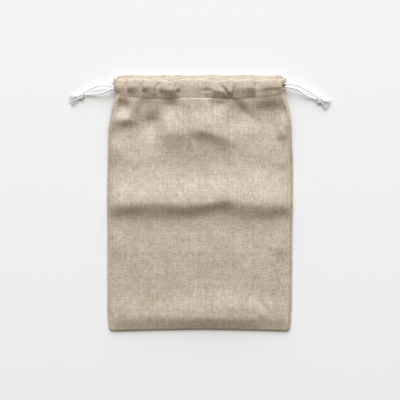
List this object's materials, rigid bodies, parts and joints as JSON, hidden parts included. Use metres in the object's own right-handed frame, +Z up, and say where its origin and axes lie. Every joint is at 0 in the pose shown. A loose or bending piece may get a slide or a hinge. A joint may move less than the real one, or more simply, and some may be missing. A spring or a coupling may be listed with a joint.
{
  "type": "linen bread bag",
  "caption": "Flat linen bag with a hemmed mouth and two cotton drawstrings, lying empty on its back, for keeping a loaf of bread.",
  "frame": {"origin": "under the middle of the bag, on the surface that it lies on: the bottom centre of the cloth's bounding box", "axes": "+Y along the bag towards its mouth, +X across the bag to the right as its front is seen, +Z up from the back of the bag to its front"},
  "size_m": [0.4244, 0.4119, 0.0194],
  "materials": {
    "linen": "matte plain weave with slubs",
    "cotton": "matte braided cord"
  },
  "bodies": {
    "root": {"bag_cloth": "linen", "drawstring_left": "cotton", "drawstring_right": "cotton", "knot_left": "cotton", "knot_right": "cotton"}
  },
  "joints": []
}
